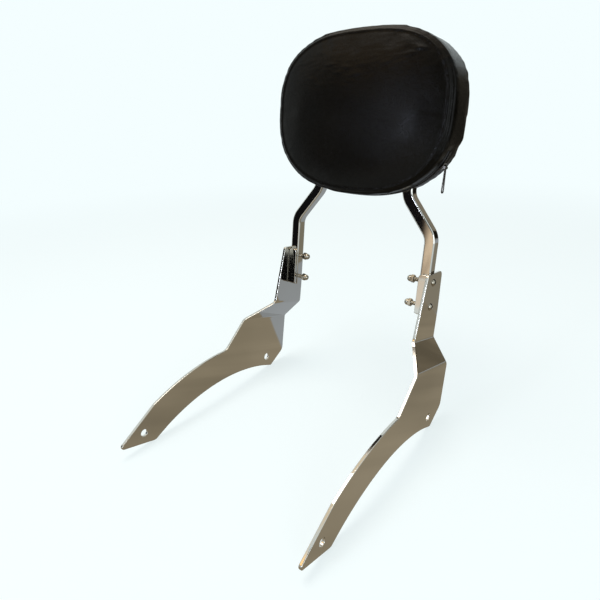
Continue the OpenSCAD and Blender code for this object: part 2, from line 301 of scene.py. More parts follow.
def node(tree, kind, settings=None, **inputs):
    made = tree.nodes.new("ShaderNode" + kind)
    for key, value in (settings or {}).items():
        setattr(made, key, value)
    feed(tree, made, **inputs)
    return made


def mathNode(tree, operation, *values):
    return node(tree, "Math", {"operation": operation}, **{f"i{i}": v for i, v in enumerate(values)})


def ranged(tree, value, low, high, toLow=0.0, toHigh=1.0, settings=None):
    # a value from low to high mapped to its new range, and held at the ends
    return node(tree, "MapRange", settings, Value=value, From_Min=low, From_Max=high, To_Min=toLow, To_Max=toHigh)


smooth = {"interpolation_type": "SMOOTHSTEP"}


def makeSmudgeGroup():
    # soft patches and fine hairlines of a wiped polished surface, as a roughness between two values
    group, given, out = newGroup("wipedMetal", "Vector Low High Patches", "Roughness")
    soft = node(group, "TexNoise", Vector=given["Vector"], Scale=given["Patches"], Detail=4.0, Roughness=0.55)
    stretched = node(group, "Mapping", Vector=given["Vector"], Scale=(1.0, 0.06, 1.0))
    hair = node(group, "TexNoise", Vector=stretched, Scale=300.0, Detail=2.0)
    share = mathNode(group, "MULTIPLY", ranged(group, hair, 0.35, 0.75), 0.25)
    mixed = mathNode(group, "MULTIPLY_ADD", soft, 0.8, share)
    feed(group, out, Roughness=ranged(group, mixed, 0.25, 0.8, given["Low"], given["High"]))
    return group


def makeGrainGroup():
    # pebbled leather grain: rounded cells between fine valleys and broad creases, as a height and a valley mask
    group, given, out = newGroup("vinylGrain", "Vector Cells Creases", "Height Valley")
    bend = node(group, "TexNoise", Vector=given["Vector"], Scale=420.0, Detail=3.0).outputs["Color"]
    nudge = node(group, "VectorMath", {"operation": "MULTIPLY_ADD"}, i0=bend, i1=(0.0012, 0.0012, 0.0012),
                 i2=given["Vector"])
    cells = node(group, "TexVoronoi", {"feature": "DISTANCE_TO_EDGE"}, Vector=nudge, Scale=given["Cells"])
    dome = ranged(group, cells, 0.0, 0.25, settings=smooth)
    flow = node(group, "Mapping", Vector=given["Vector"], Scale=(0.45, 1.0, 1.6))
    crease = node(group, "TexNoise", Vector=flow, Scale=given["Creases"], Detail=6.0, Roughness=0.65, Distortion=0.7)
    height = mathNode(group, "MULTIPLY_ADD", ranged(group, crease, 0.42, 0.6), 0.3, dome)
    feed(group, out, Height=height, Valley=mathNode(group, "SUBTRACT", 1.0, dome))
    return group


smudgeGroup = makeSmudgeGroup()
grainGroup = makeGrainGroup()


def newMaterial(name):
    material = bpy.data.materials.new(name)
    material.use_nodes = True
    tree = material.node_tree
    coords = tree.nodes.new("ShaderNodeTexCoord")
    return material, tree, tree.nodes["Principled BSDF"], coords.outputs["Object"]


def setLook(tree, shader, factor, dark, light, height, strength, distance, **inputs):
    # a tone between two by the factor, a bump by the height, and any other inputs of the shader
    mix = node(tree, "Mix", {"data_type": "RGBA"}, i0=factor, i6=(*dark, 1), i7=(*light, 1))
    bump = node(tree, "Bump", Height=height, Strength=strength, Distance=distance)
    feed(tree, shader, Base_Color=mix.outputs[2], Normal=bump, **inputs)


def polishedMetal(name, light, dark, low, high, patches=14.0, wave=0.0006, waveScale=9.0):
    # plated metal: a tone that drifts a little, wiped roughness, and the faint waves of polished sheet
    material, tree, shader, place = newMaterial(name)
    wiped = node(tree, "Group", {"node_tree": smudgeGroup}, Vector=place, Low=low, High=high, Patches=patches)
    shade = ranged(tree, node(tree, "TexNoise", Vector=place, Scale=5.0, Detail=3.0), 0.35, 0.65)
    swell = node(tree, "TexNoise", Vector=place, Scale=waveScale, Detail=1.0)
    setLook(tree, shader, shade, dark, light, swell, 1.0, wave, Metallic=1.0, Roughness=wiped)
    return material


def vinylMaterial(name, dark, light, low, high):
    # grained sheet: cloudy tone, and a roughness that rises in the valleys of the grain
    material, tree, shader, place = newMaterial(name)
    grain = node(tree, "Group", {"node_tree": grainGroup}, Vector=place, Cells=760.0, Creases=85.0)
    tone = ranged(tree, node(tree, "TexNoise", Vector=place, Scale=18.0, Detail=4.0), 0.35, 0.7)
    rough = ranged(tree, grain.outputs["Valley"], 0.0, 1.0, low, high)
    setLook(tree, shader, tone, dark, light, grain, 0.6, 0.00007, Roughness=rough, Specular_IOR_Level=0.10)
    return material


def patternMaterial(name, kind, settings, tones, rough, bump, uvMap=None, stretch=None, **inputs):
    # one pattern that runs between two tones and makes the bump, given as strength and distance
    material, tree, shader, place = newMaterial(name)
    if uvMap:
        place = node(tree, "UVMap", {"uv_map": uvMap})
    if stretch:
        place = node(tree, "Mapping", Vector=place, Scale=stretch)
    pattern = node(tree, kind, settings, Vector=place, **inputs).outputs["Fac"]
    setLook(tree, shader, pattern, *tones, pattern, *bump, Roughness=rough)
    return material


chrome = polishedMetal("mirrorChrome", (0.62, 0.60, 0.56), (0.55, 0.53, 0.485), 0.02, 0.07)
hardware = polishedMetal("brightHardware", (0.48, 0.44, 0.37), (0.33, 0.30, 0.245), 0.07, 0.18, 160.0, 0.0001, 120.0)
zipMetal = polishedMetal("zipNickel", (0.12, 0.11, 0.10), (0.05, 0.046, 0.042), 0.16, 0.36, 240.0, 0.0001, 200.0)
vinyl = vinylMaterial("blackVinyl", (0.0016, 0.0013, 0.0008), (0.0032, 0.0026, 0.0017), 0.19, 0.34)
twill = {"wave_type": "BANDS", "bands_direction": "DIAGONAL"}
tapeCloth = patternMaterial("zipTapeCloth", "TexWave", twill, ((0.006, 0.006, 0.007), (0.03, 0.03, 0.033)), 0.85,
                            (0.6, 0.0002), uvMap="along", Scale=1.0, Distortion=0.6, Detail=2.0)
thread = patternMaterial("blackThread", "TexWave", twill, ((0.01, 0.01, 0.01), (0.035, 0.034, 0.034)), 0.6,
                         (0.5, 0.0001), Scale=1400.0)
plywood = patternMaterial("plywood", "TexNoise", None, ((0.30, 0.19, 0.10), (0.55, 0.40, 0.24)), 0.7, (0.3, 0.0003),
                          stretch=(1.0, 8.0, 12.0), Scale=22.0, Detail=6.0)
print("materials made")

# the frame's own nodes take a material by how their names begin
kinds = (("pad_board", plywood), ("cover", vinyl), ("pad", vinyl), ("zip", zipMetal), ("", chrome))
for nodeName, piece in frame["nodes"].items():
    piece.data.materials.clear()
    piece.data.materials.append(next(material for start, material in kinds if nodeName.startswith(start)))

# ---- side plates

plate = dict(span=300.0, thick=4.0, jogIn=27.0, holePitch=251.0, rearHole=11.0, frontHole=10.0, holeSides=64,
             armDepth=47.0, archRadius=278.0, archPeak=7.0, archMiddle=12.0, lowSteps=35, highSteps=29, tipReach=41.0,
             tipLow=4.0, bendRadius=5.0, headTop=192.0, creaseAngle=16.4, creaseLow=71.8, creaseHigh=103.5,
             edgeRound=0.9)
headX = plate["span"] / 2 - plate["jogIn"]
creaseWay = np.array([f(radians(plate["creaseAngle"])) for f in (sin, cos)])


def plateOutline(p):
    # the side view of a plate about its rear hole: two arches make the arm, and straight sides the web and head
    middle, pitch = -p["holePitch"] / 2 + p["archMiddle"], p["holePitch"]

    def onCrease(y, distance, radius):
        return y, (distance - y * creaseWay[0]) / creaseWay[1], radius

    def archAt(radius, y, corners):
        high = p["archPeak"] - p["archRadius"] + np.sqrt(radius ** 2 - (y - middle) ** 2)
        return np.c_[y, high, np.r_[corners[0], np.zeros(len(y) - 2), corners[1]]]
    # each point as depth, height and corner radius; a longer first and last step of an arch leaves its corners room
    low = archAt(p["archRadius"], np.r_[15 - pitch, np.linspace(35 - pitch, -11, p["lowSteps"]), 9], (6, 3))
    rear = [(42, -4, 12), onCrease(54, p["creaseLow"], 10), onCrease(64.5, p["creaseHigh"], 10), (71.5, 127, 40)]
    head = [(77, p["headTop"] - 6, 7), (32, p["headTop"], 4)]
    front = [onCrease(1, p["creaseHigh"], 16), onCrease(-45, p["creaseLow"], 14)]
    high = archAt(p["archRadius"] + p["armDepth"],
                  np.r_[-89, np.linspace(-103, 36 - pitch, p["highSteps"]), 22 - pitch], (14, 5))
    points = np.concatenate([[(-pitch - p["tipReach"], -4, p["tipLow"])], low, rear, head, front, high])
    return roundCorners(points[:, :2], points[:, 2])


def jogFace(p, off):
    # the sideways place of a face against its distance from the rear hole: two arcs joined by a slope
    slope = atan(p["jogIn"] / (p["creaseHigh"] - p["creaseLow"]))
    mid = p["bendRadius"] + p["thick"] / 2
    reach = mid * tan(slope / 2)
    x0, x1 = (p["span"] - p["thick"]) / 2, (p["span"] - p["thick"]) / 2 - p["jogIn"]
    d1, d2, r1, r2 = p["creaseLow"] - reach, p["creaseHigh"] + reach, mid + off, mid - off
    e1, e2 = d1 + r1 * sin(slope), d2 - r2 * sin(slope)

    def face(uv):
        d = uv @ creaseWay
        s1 = np.clip(d - d1, 0, e1 - d1)
        s2 = np.clip(d2 - d, 0, d2 - e2)
        root1, root2 = np.sqrt(r1 ** 2 - s1 ** 2), np.sqrt(r2 ** 2 - s2 ** 2)
        lower = x0 - mid + root1
        upper = x1 + mid - root2
        middle = x0 - mid + r1 * cos(slope) - (d - e1) * tan(slope)
        x = np.where(d <= e1, lower, np.where(d >= e2, upper, middle))
        grade = np.where(d <= e1, -s1 / root1, np.where(d >= e2, -s2 / root2, -tan(slope)))
        return x, grade[:, None] * creaseWay
    creases = np.r_[np.linspace(d1, e1, 9), np.linspace(e2, d2, 9)]
    return face, creases


def sidePlate(p):
    (outer, creases), (inner, more) = (jogFace(p, off) for off in (p["thick"] / 2, -p["thick"] / 2))
    holes = [arcPoints((y, 0), dia / 2, 0, 360, p["holeSides"])[:-1]
             for y, dia in ((0, p["rearHole"]), (-p["holePitch"], p["frontHole"]))]
    lines = np.unique(np.round(np.r_[creases, more], 4))
    lines = lines[np.r_[True, np.diff(lines) > 0.02]]
    patches = slabPatches(plateOutline(p), holes, outer, inner, p["edgeRound"], creaseWay, lines)
    return moved(patches, facingX, (0, holeY, holeZ))


addPair("plate", "side_plate", sidePlate(plate), chrome)
print("side plates made")

# ---- the leaning frame of the upright: x, depth towards the rear, height above the legs' feet

upright = dict(tube=15.0, corner=2.2, wall=1.5, rake=8.4, footY=44.6, footZ=130.0, legLen=107.0, turn=39.0,
               turnRadius=26.0, hoopWide=143.0, hoopHigh=332.0, hoopRadius=38.0, cornerSteps=6, openDepth=60.0,
               lip=0.35)
rake = radians(upright["rake"])
leanTurn = np.array([[1, 0, 0], [0, cos(rake), sin(rake)], [0, -sin(rake), cos(rake)]])
footPlace = np.array([0, upright["footY"] + holeY, upright["footZ"] + holeZ])
legX = headX - plate["thick"] - upright["tube"] / 2


def lean(patches):
    return moved(patches, leanTurn, footPlace)


def hoopPath(u):
    # half the hoop as x, height and the angle of its outer side, and then its mirror image
    r, turn = u["turnRadius"], u["turn"]
    reach, innerX, topZ = r * tan(radians(turn / 2)), u["hoopWide"] / 2, u["hoopHigh"] - u["tube"] / 2
    secondZ = u["legLen"] + (legX - innerX) / tan(radians(turn))
    a = np.linspace(0, turn, 17)
    b = a[::-1]
    c = np.linspace(0, 90, 25)
    cosA, sinA, cosB, sinB = (f(np.radians(v)) for v in (a, b) for f in (np.cos, np.sin))
    h = u["hoopRadius"]
    half = np.concatenate([
        [[legX, 0, 0]],
        np.c_[legX - r + r * cosA, u["legLen"] - reach + r * sinA, a],
        np.c_[innerX + r - r * cosB, secondZ + reach - r * sinB, b],
        np.c_[innerX - h + h * np.cos(np.radians(c)), topZ - h + h * np.sin(np.radians(c)), c]])
    other = half[::-1] * [-1, 1, -1] + [0, 0, 180]
    return np.concatenate([half, other])


def squareSection(width, radius, steps):
    # a square with round corners, as places and outward directions
    s = width / 2 - radius
    a = np.radians(np.concatenate([np.linspace(q * 90, q * 90 + 90, steps + 1) for q in range(4)]))
    sx, sy = np.repeat([1, -1, -1, 1], steps + 1), np.repeat([1, 1, -1, -1], steps + 1)
    out = np.c_[np.cos(a), np.sin(a)]
    return np.c_[s * sx, s * sy] + radius * out, out


def sweepTube(path, section, out):
    # the section carried along the path: its first place points outward and its second to the rear
    a = np.radians(path[:, 2:3])
    x = path[:, :1] + section[:, 0] * np.cos(a)
    z = path[:, 1:2] + section[:, 0] * np.sin(a)
    p = np.stack([x, np.broadcast_to(section[:, 1], x.shape), z], -1)
    n = np.stack([out[:, 0] * np.cos(a), np.broadcast_to(out[:, 1], x.shape), out[:, 0] * np.sin(a)], -1)
    return p, n


def hoopPatches(u):
    # the outer skin, and at both feet a chamfer, the cut face, the bore's wall and a floor inside
    path = hoopPath(u)
    section, out = squareSection(u["tube"], u["corner"], u["cornerSteps"])
    bore, boreOut = squareSection(u["tube"] - 2 * u["wall"], u["corner"] / 3, u["cornerSteps"])
    down = np.tile([0.0, 0.0, -1.0], (len(section), 1))
    p, n = sweepTube(path, section, out)
    patches = []
    for end in (0, -1):
        at = path[end][None]
        low = sweepTube(at, section * (1 - 2 * u["lip"] / u["tube"]), out)[0][0]
        p[end, :, 2] += u["lip"]
        inner, wall = (v[0] for v in sweepTube(at, bore, -boreOut))
        high = inner + [0, 0, u["openDepth"]]
        patches += [strip(p[end], low, n[end], unit(n[end] + down)), strip(low, inner, down, down),
                    strip(inner, high, wall, wall), strip(high, np.tile(high.mean(0), (len(high), 1)), down, down)]
    return patches + [patch(p, n)]


addPiece("hoop_tube", lean(hoopPatches(upright)), chrome, ["upright_tube"])
print("hoop made")

# ---- straps on the front of the legs' feet

strap = dict(thick=4.5, long=55.0, up=2.0, narrower=1.0, topCorner=5.0, lowCorner=1.0, edgeRound=0.8)


def strapPatches(s):
    w = (upright["tube"] - s["narrower"]) / 2
    outline = roundCorners([[-w, 0], [w, 0], [w, s["long"]], [-w, s["long"]]],
                           [s["lowCorner"], s["lowCorner"], s["topCorner"], s["topCorner"]], 12)
    patches = slabPatches(outline, [], flatFace(s["thick"]), flatFace(0), s["edgeRound"])
    return lean(moved(patches, facingFront, (legX, -upright["tube"] / 2, s["up"])))


addPair("strap", "foot_strap", strapPatches(strap), chrome)

# ---- screws and dome nuts: profiles turned about the bolt's axis, with hexagons where the tool fits

bolt = dict(pitch=34.0, up=13.0, dia=6.0, head=10.5, headHigh=3.3, domeFlat=2.75, domeRim=0.25, domeSteps=14,
            socket=4.0, socketEdge=0.28, socketDeep=2.1, socketPoint=0.7, nutAcross=10.0, nutHigh=5.0, nutFace=4.75,
            nutSlope=1.7, nutBore=1.4, bareThread=8.5, threadPitch=1.0, threadDeep=0.55, threadSteps=14, around=96)


def hexRadius(theta, apothem, sharp=46.0):
    # six flats as a power mean of their cosines, so that the corners between them are a little round
    faces = np.arange(6) * pi / 3
    c = np.maximum(np.cos(theta[:, None] - faces), 1e-6)
    return apothem / (c ** sharp).sum(1) ** (1 / sharp)


def turned(rows, theta):
    # rows of (place along the axis, radius at each angle) as a grid about the x axis
    along = np.array([r[0] for r in rows], float)
    radius = np.stack([np.broadcast_to(r[1], theta.shape) for r in rows])
    x = np.broadcast_to(along[:, None], radius.shape)
    return np.stack([x, radius * np.cos(theta), radius * np.sin(theta)], -1)


def turnedPatches(profiles, theta):
    return [patch(turned(rows, theta)) for rows in profiles]


def crisp(rows):
    # a profile cut at every row, so that each one becomes a sharp edge
    return list(zip(rows, rows[1:]))


def screwPatches(b):
    theta = np.linspace(0, tau, b["around"], endpoint=False)
    half, high = b["head"] / 2, b["headHigh"]
    domeR = (half ** 2 + high ** 2) / (2 * high)
    a0, a1 = asin(b["domeFlat"] / domeR), asin((half - b["domeRim"]) / domeR)
    dome = [(high - domeR + domeR * cos(a), domeR * sin(a)) for a in np.linspace(a1, a0, b["domeSteps"])]
    top = dome[-1][0]
    hexIn = hexRadius(theta, b["socket"] / 2)
    lip, deep = top - b["socketEdge"], top - b["socketDeep"]
    shank = b["dia"] / 2 - 0.05
    start = plate["thick"] + upright["tube"] - 2
    end = plate["thick"] + upright["tube"] + b["bareThread"] + 2.5
    patches = turnedPatches(
        [[(0, half - 0.2), (0.15, half), (0.3, half)] + dome]
        + crisp([dome[-1], (lip, hexIn), (deep, hexIn), (deep - b["socketPoint"], 0.0)])
        + crisp([(0, half - 0.2), (0, shank), (-start, shank)])
        + [[(-end, shank), (-end - 0.4, 0.0)]], theta)
    # the thread: a ridge with straight flanks that winds once round per pitch and fades at both ends
    s = np.linspace(start, end, int((end - start) * b["threadSteps"]))
    phase = (s[:, None] / b["threadPitch"] - theta / tau) % 1
    ridge = np.clip(1.25 * (1 - np.abs(2 * phase - 1)), 0, 1)
    fade = np.clip(np.minimum(s - start, end - s) / 0.6, 0, 1)[:, None]
    return patches + turnedPatches([list(zip(-s, shank - b["threadDeep"] * (1 - ridge) * fade))], theta)


def nutPatches(b):
    theta = np.linspace(0, tau, b["around"], endpoint=False)
    hexOut = hexRadius(theta, b["nutAcross"] / 2, 90.0)
    ball = (b["nutAcross"] - 0.6) / 2
    high, bore, face = b["nutHigh"], b["dia"] / 2 + 0.02, b["nutFace"]
    rise = np.linspace(0, 1, 25) * (high - 0.3)
    body = [(t, np.minimum(np.minimum(hexOut, face + t * b["nutSlope"]), face + (high - 0.3 - t) * b["nutSlope"]))
            for t in rise]
    centre = high + 1
    dome = [(centre + ball * sin(a), ball * cos(a)) for a in np.linspace(0, pi / 2, 22)]
    return turnedPatches(
        crisp([(b["nutBore"], 0.0), (b["nutBore"], bore), (0.35, bore), (0, bore + 0.4), (0, face)])
        + [body, [(high - 0.3, face), (high - 0.15, ball - 0.25)],
           [(high - 0.15, ball - 0.25), (high + 0.15, ball), (centre, ball)] + dome[1:]], theta)


tip = plate["thick"] + upright["tube"] + bolt["bareThread"]
for i, level in enumerate(("lower", "upper")):
    middle = np.array([0, -strap["thick"] / 2, bolt["up"] + i * bolt["pitch"]])
    screw = lean(moved(screwPatches(bolt), np.eye(3), middle + [headX, 0, 0]))
    nut = lean(moved(nutPatches(bolt), mirror, middle + [headX - tip, 0, 0]))
    for side, flip in sides:
        for kind, patches in (("screw", screw), ("dome_nut", nut)):
            addPiece(f"{kind}Piece_{side}_{level}", moved(patches, flip), hardware,
                     [f"{kind}_{side}_{level}"])
print("straps, screws and nuts made")

# ---- the pad: a closed cushion that air pressure swells between its seams

pad = dict(wide=262.0, high=205.0, up=257.0, squareTop=2.7, squareLow=2.4, front=-33.0, back=13.0, crown=15.0,
           rearEdge=4.0, backCrown=3.0, seamScale=0.985, seamDepth=-37.5, smaller=2.2, voxel=5.2, pressure=4.0,
           mostMove=7.0, frames=20)
zipPart = dict(y=-13.5, tapeWide=8.0, tapeThick=0.9, teethHigh=1.4, toothPitch=1.35, firstStep=40, lastStep=68,
               sliderStep=66, sliderThick=2.2, knuckle=4.0, knuckleWide=4.6, pin=1.8, pullWide=7.0, pullLong=31.0,
               pullThick=1.4, stitchPitch=3.2, stitchAside=6.3)
seam = dict(around=118.0, rimReach=115.0, heldWide=7.0, heldZip=0.9, frontDeep=2.3, frontWide=1.6, panelFold=1.15,
            bandFold=0.4, foldOut=4.0, foldWide=2.0, rearShare=0.985, rearInset=1.5, rearDeep=0.5, rearBite=0.15,
            rearWide=1.7, rearFold=0.3, rearFoldWide=2.4, puckerPitch=6.5, puckerFade=10.0, biteNoise=(3, 12, 30),
            puckerNoise=(5, 24, 13), warpNoise=(9, 16, 60), creaseNoise=(7, 40, 11), dentNoise=(11, 30, 70))
padLift = [0, 0, pad["up"]]


def padOutline(angle, scale=1.0, grow=0.0):
    # two halves of superellipses, the lower one rounder
    e = 2 / np.where(np.sin(angle) < 0, pad["squareLow"], pad["squareTop"])
    c, s = np.cos(angle), np.sin(angle)
    return np.stack([(pad["wide"] / 2 * scale + grow) * np.sign(c) * np.abs(c) ** e,
                     (pad["high"] / 2 * scale + grow) * np.sign(s) * np.abs(s) ** e], -1)


def stepPoint(step, grow):
    # a point of the outline by its step of five degrees, moved outward
    return padOutline(np.radians(5.0 * np.asarray(step, float)), 1.0, grow)


def padShare(x, z):
    # how far out a point lies: 1 on the outline
    power = np.where(z < 0, pad["squareLow"], pad["squareTop"])
    return ((np.abs(x) / (pad["wide"] / 2)) ** power + (np.abs(z) / (pad["high"] / 2)) ** power) ** (1 / power)


def crownAt(share):
    # the front panel's swell, a steep curve at the seam with a shallow dome over it
    share = np.clip(share, 0, 1)
    return 0.6 * (1 - share ** 5) ** 0.4545 + 0.4 * (1 - share ** 2)


def smoothStep(x, low, high):
    t = np.clip((x - low) / (high - low), 0, 1)
    return t * t * (3 - 2 * t)


def cushionStart():
    # rings from the middle of the front over the band to the middle of the back
    angle, edge, edgeY = np.linspace(0, tau, 180, endpoint=False), pad["rearEdge"], pad["back"] - pad["rearEdge"]
    k = np.r_[0, np.linspace(0.06, 0.94, 22), 0.955, 0.97, 0.985, 0.995]
    rings = [(s, pad["front"] - pad["crown"] * crownAt(s)) for s in k]
    rings += [(1.0, y) for y in np.linspace(pad["front"], edgeY, 14)]
    rings += [(1 - 0.03 * (1 - cos(a)), edgeY + edge * sin(a)) for a in np.radians([30, 60, 90])]
    rings += [(s, pad["back"]) for s in np.linspace(0.92, 0, 18)]
    grid = []
    for s, y in rings:
        shrink = -pad["smaller"] * min(1.0, s * 4)
        xz = padOutline(angle, s, shrink if s > 0.05 else 0)
        depth = y + pad["smaller"] * (1 if y < -20 else -1 if y > 0 else 0) * 0.6
        grid.append(np.c_[xz[:, 0], np.full(len(xz), depth), xz[:, 1] + pad["up"]])
    return patch(np.stack(grid))


def meshPoints(mesh, key="co"):
    return readAll(mesh.vertices, key, 3)


def inPad(mesh):
    # a mesh's points in the leaning frame, from the middle of the pad's height
    return (meshPoints(mesh) / mm - footPlace) @ leanTurn - padLift


def bakeModifiers(piece):
    graph = bpy.context.evaluated_depsgraph_get()
    baked = bpy.data.meshes.new_from_object(piece.evaluated_get(graph))
    piece.modifiers.clear()
    piece.data = baked


def swell(piece):
    # pins the two seams, lets pressure push the panels out between them, and caps how far a point may go
    start = meshPoints(piece.data)
    local = inPad(piece.data)
    share = padShare(local[:, 0], local[:, 2])
    frontSeam = np.hypot((share - pad["seamScale"]) * seam["rimReach"], local[:, 1] - pad["seamDepth"])
    rearSeam = np.hypot((share - 1) * seam["rimReach"], local[:, 1] - pad["back"])
    held = np.clip(1.25 - np.minimum(frontSeam, rearSeam) / seam["heldWide"], 0, 1)
    zipZone = (np.abs(local[:, 1] - zipPart["y"]) < 7) & (local[:, 2] < -20) & (share > 0.85)
    held = np.maximum(held, zipZone * seam["heldZip"])
    group = piece.vertex_groups.new(name="held")
    for i in np.nonzero(held > 0.02)[0]:
        group.add([int(i)], float(held[i]), "REPLACE")
    cloth = piece.modifiers.new("Swell", "CLOTH")
    values = dict(quality=6, mass=0.35, tension_stiffness=30, compression_stiffness=30, shear_stiffness=15,
                  bending_stiffness=3, vertex_group_mass="held", use_pressure=True,
                  uniform_pressure_force=pad["pressure"])
    for key, value in values.items():
        setattr(cloth.settings, key, value)
    cloth.settings.effector_weights.gravity = 0
    cloth.point_cache.frame_end = pad["frames"]
    for f in range(1, pad["frames"] + 1):
        scene.frame_set(f)
    graph = bpy.context.evaluated_depsgraph_get()
    done = meshPoints(piece.evaluated_get(graph).data)
    step = done - start
    far = np.linalg.norm(step, axis=1, keepdims=True)
    cap = pad["mostMove"] * mm
    done = start + step * (cap * np.tanh(far / cap) / np.maximum(far, 1e-9))
    piece.modifiers.clear()
    piece.vertex_groups.clear()
    scene.frame_set(1)
    piece.data.vertices.foreach_set("co", done.ravel())
    piece.data.update()
    print("cushion swelled by up to", round(float(far.max()) / mm, 1), "mm")


def smoothNoise(p, seed, waves, size):
    # a sum of plane waves in random directions, from -1 to 1
    rng = np.random.default_rng(seed)
    k = rng.normal(size=(waves, 3))
    k *= (tau / size * rng.uniform(0.6, 1.6, (waves, 1))) / np.linalg.norm(k, axis=1, keepdims=True)
    return np.sin(p @ k.T + rng.uniform(0, tau, waves)).sum(1) / sqrt(waves / 2) / 2


def bell(x, width):
    # the exponential of minus the square of x over the width
    return np.exp(-(x / width) ** 2)


def shareAndRadius(local):
    # how far out each point lies, and the outline's distance from the middle in its direction
    share = padShare(local[:, 0], local[:, 2])
    return share, np.hypot(local[:, 0], local[:, 2]) / np.maximum(share, 1e-6)


def rimScale(local):
    # the factor that brings the rim, which the remesh rounds off, back out to the outline at each depth
    share, y = padShare(local[:, 0], local[:, 2]), local[:, 1]
    rows = np.linspace(-44, pad["back"] - 1.0, 28)
    found = [np.percentile(share[np.abs(y - row) < 1.6], 98) for row in rows]
    steep, full = np.clip((pad["front"] - rows) / pad["crown"], 0, 0.75), np.linspace(1, 0, 200)
    factor = np.interp(y, rows, 1.01 * np.interp(steep, crownAt(full), full) / np.array(found))
    return 1 + (factor - 1) * smoothStep(share, 0.7, 0.93) * smoothStep(y, -47, -42)


def seamPush(local, s):
    # how far each point moves along its normal, in mm: seam valleys with puckers, and creases of stretched vinyl
    x, y, z = local.T
    share, radius = shareAndRadius(local)
    along = np.arctan2(z / pad["high"], x / pad["wide"]) * s["around"]
    bite = 0.85 + 0.12 * np.cos(along * tau / s["puckerPitch"]) + 0.25 * smoothNoise(local, *s["biteNoise"])
    front = np.hypot((share - pad["seamScale"]) * radius, y - pad["seamDepth"])
    rear = np.hypot((share - s["rearShare"]) * radius, y - pad["back"] + s["rearInset"])
    nearest = np.minimum(front, rear)
    # the panel's turned edge stands up beside the front seam, the band's edge less
    fold = np.where((share < pad["seamScale"]) & (y < pad["front"] - 3), s["panelFold"], s["bandFold"])
    push = -s["frontDeep"] * bite * bell(front, s["frontWide"]) + fold * bell(front - s["foldOut"], s["foldWide"])
    push += ((-s["rearDeep"] - s["rearBite"] * bite) * bell(rear, s["rearWide"])
             + s["rearFold"] * bell(rear - s["foldOut"], s["rearFoldWide"]))
    # puckers that fade away from the seams
    facing = smoothStep(-y, 30, 40)
    pucker = smoothNoise(np.c_[along, y * 0.25, np.zeros_like(y)], *s["puckerNoise"])
    fade = np.exp(-(nearest / s["puckerFade"]) ** 1.5) * smoothStep(nearest, 0.5, 3)
    push += (0.1 + 0.2 * facing) * pucker * fade
    # slack creases across the upper front, stronger in two places
    upper = smoothStep(z, -5, 55) * facing * smoothStep(-share, -0.97, -0.85)
    warp = 3 * smoothNoise(local, *s["warpNoise"])[:, None]
    crease = smoothNoise(np.c_[x * 0.32, y * 0, z * 1.25] + warp, *s["creaseNoise"])
    patchR = np.exp(-((x - 78) / 34) ** 2 - ((z - 72) / 20) ** 2)
    patchL = np.exp(-((x + 10) / 45) ** 2 - ((z - 50) / 16) ** 2)
    push += (0.07 + 0.2 * patchR + 0.13 * patchL) * upper * (np.abs(crease) * 2 - 0.8)
    return push + (0.12 + 0.1 * facing) * smoothNoise(local, *s["dentNoise"])


def tailor(piece):
    # brings the swollen pad to its depths and outline, works the seams in, and sinks the zip's channel
    mesh = piece.data
    local = inPad(mesh)
    rearRim = np.percentile(local[padShare(local[:, 0], local[:, 2]) > 0.9, 1], 99)
    local[:, 1] = np.interp(local[:, 1], [local[:, 1].min(), -20, 0, rearRim, max(local[:, 1].max(), rearRim + 1)],
                            [pad["front"] - pad["crown"], -20, 0, pad["back"], pad["back"] + pad["backCrown"]])
    local[:, [0, 2]] *= rimScale(local)[:, None]
    local = local + (meshPoints(mesh, "normal") @ leanTurn) * seamPush(local, seam)[:, None]
    # the band holds to its outline beside the zip, a little sunk under the tape
    share, radius = shareAndRadius(local)
    ends = stepPoint([zipPart["firstStep"], zipPart["lastStep"]], 0.0)[:, 1].max()
    beside = np.abs(local[:, 1] - zipPart["y"])
    reach = smoothStep(-beside, -11, -6) * smoothStep(-local[:, 2], -ends - 8, -ends + 2) * (share > 0.8)
    lip = 1.3 * bell(beside - 6.2, 1.6) - 0.35
    aim = (1 + lip / radius) / np.maximum(share, 1e-6)
    local[:, [0, 2]] *= (1 + (aim - 1) * reach)[:, None]
    done = ((local + padLift) @ leanTurn.T + footPlace) * mm
    mesh.vertices.foreach_set("co", done.ravel())
    mesh.update()


def makeCushion():
    rough = newObject("cushionStart", buildMesh("cushion", lean([cushionStart()])))
    remesh = rough.modifiers.new("Remesh", "REMESH")
    remesh.mode, remesh.voxel_size, remesh.use_smooth_shade = "VOXEL", pad["voxel"] * mm, True
    bakeModifiers(rough)
    relax = rough.modifiers.new("Relax", "SMOOTH")
    relax.factor, relax.iterations = 0.5, 2
    bakeModifiers(rough)
    swell(rough)
    finer = rough.modifiers.new("Finer", "SUBSURF")
    finer.levels = finer.render_levels = 2
    bakeModifiers(rough)
    tailor(rough)
    mesh = rough.data
    mesh.name = "cushion"
    bpy.data.objects.remove(rough)
    mesh.polygons.foreach_set("use_smooth", np.ones(len(mesh.polygons), bool))
    return addPiece("cushion", mesh, vinyl,
                    ["pad_foam", "pad_back_foam", "cover_front", "cover_band", "cover_back"])


cushion = makeCushion()
print("cushion made with", len(cushion.data.polygons), "faces")

# ---- the zip under the pad: tape, teeth, slider and pull

first, last = zipPart["firstStep"], zipPart["lastStep"]


def zipPath(count, grow, first, last):
    # points along the outline at even spacing, with their outward directions and the length so far
    fine = np.linspace(first, last, 2000)
    p = stepPoint(fine, grow)
    run = np.r_[0, np.cumsum(np.linalg.norm(np.diff(p, axis=0), axis=1))]
    at = np.interp(np.linspace(0, run[-1], count), run, fine)
    t = unit(stepPoint(at + 0.01, grow) - stepPoint(at - 0.01, grow))
    return stepPoint(at, grow), np.c_[t[:, 1], -t[:, 0]], np.linspace(0, run[-1], count)


zipLength = zipPath(2, 0.0, first, last)[2][-1]


